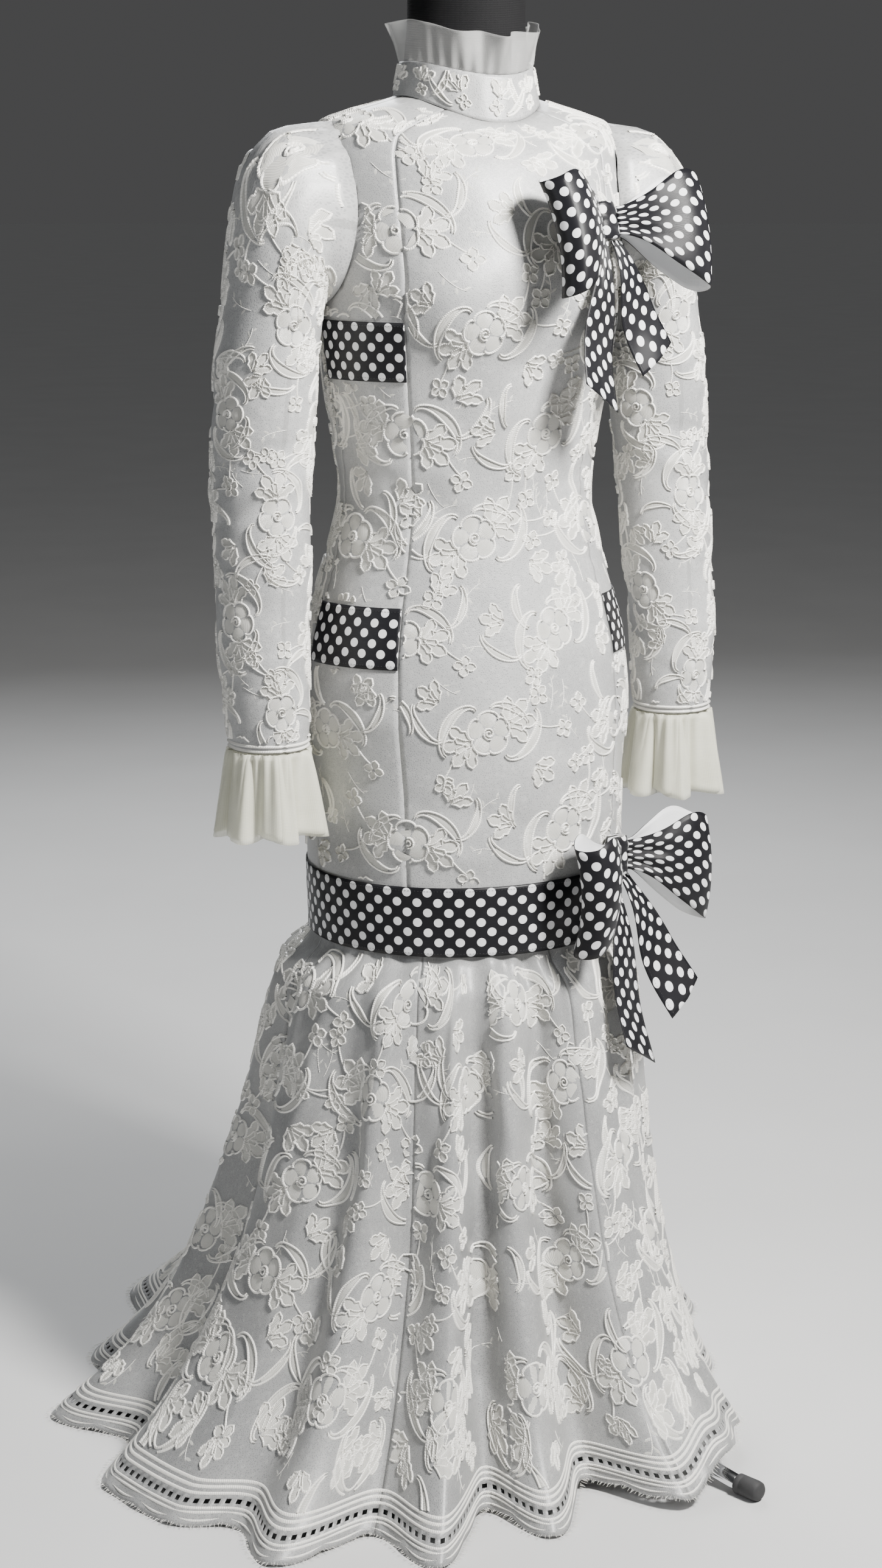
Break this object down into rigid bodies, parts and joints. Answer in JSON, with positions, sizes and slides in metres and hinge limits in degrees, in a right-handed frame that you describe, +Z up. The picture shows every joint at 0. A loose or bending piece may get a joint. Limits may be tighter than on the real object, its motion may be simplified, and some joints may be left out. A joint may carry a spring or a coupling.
{
  "type": "lace gown on a dress form",
  "caption": "Floor-length long-sleeved lace gown with a high frilled collar, ribbon trims and a flounced sweep train, on a limbless dress form with a tripod stand.",
  "frame": {"origin": "on the floor below the middle of the whole part's box, with the train behind", "axes": "+Z up along the stand's column, -Y the gown's front, +X the wearer's left"},
  "size_m": [0.8178, 0.9782, 1.53],
  "materials": {
    "lace": "corded lace over white satin",
    "hem_lace": "openwork lace border with an eyelash fringe",
    "organza": "sheer gathered organza",
    "ribbon": "black satin ribbon with white dots",
    "jersey": "black jersey over the form",
    "chrome": "polished chrome tube",
    "rubber": "black end cap"
  },
  "bodies": {
    "root": {"back_left": "lace", "back_right": "lace", "back_side_left": "lace", "back_side_right": "lace", "bust_band_left": "ribbon", "bust_band_right": "ribbon", "chest_bow_knot": "ribbon", "chest_bow_loop_left": "ribbon", "chest_bow_loop_right": "ribbon", "chest_bow_tail_left": "ribbon", "chest_bow_tail_right": "ribbon", "collar_band": "lace", "collar_frill": "organza", "cuff_frill_left": "organza", "cuff_frill_right": "organza", "flounce_back_left": "lace", "flounce_back_right": "lace", "flounce_front": "lace", "flounce_front_side_left": "lace", "flounce_front_side_right": "lace", "flounce_side_left": "lace", "flounce_side_right": "lace", "form_torso": "jersey", "fringe_back_left": "hem_lace", "fringe_back_right": "hem_lace", "fringe_front": "hem_lace", "fringe_front_side_left": "hem_lace", "fringe_front_side_right": "hem_lace", "fringe_side_left": "hem_lace", "fringe_side_right": "hem_lace", "front_centre": "lace", "front_side_left": "lace", "front_side_right": "lace", "hip_band_left": "ribbon", "hip_band_right": "ribbon", "knee_band": "ribbon", "knee_bow_knot": "ribbon", "knee_bow_loop_left": "ribbon", "knee_bow_loop_right": "ribbon", "knee_bow_tail_left": "ribbon", "knee_bow_tail_right": "ribbon", "sleeve_left": "lace", "sleeve_right": "lace", "stand_column": "chrome", "stand_foot_1": "rubber", "stand_foot_2": "rubber", "stand_foot_3": "rubber", "stand_hub": "chrome", "stand_leg_1": "chrome", "stand_leg_2": "chrome", "stand_leg_3": "chrome"}
  },
  "joints": []
}
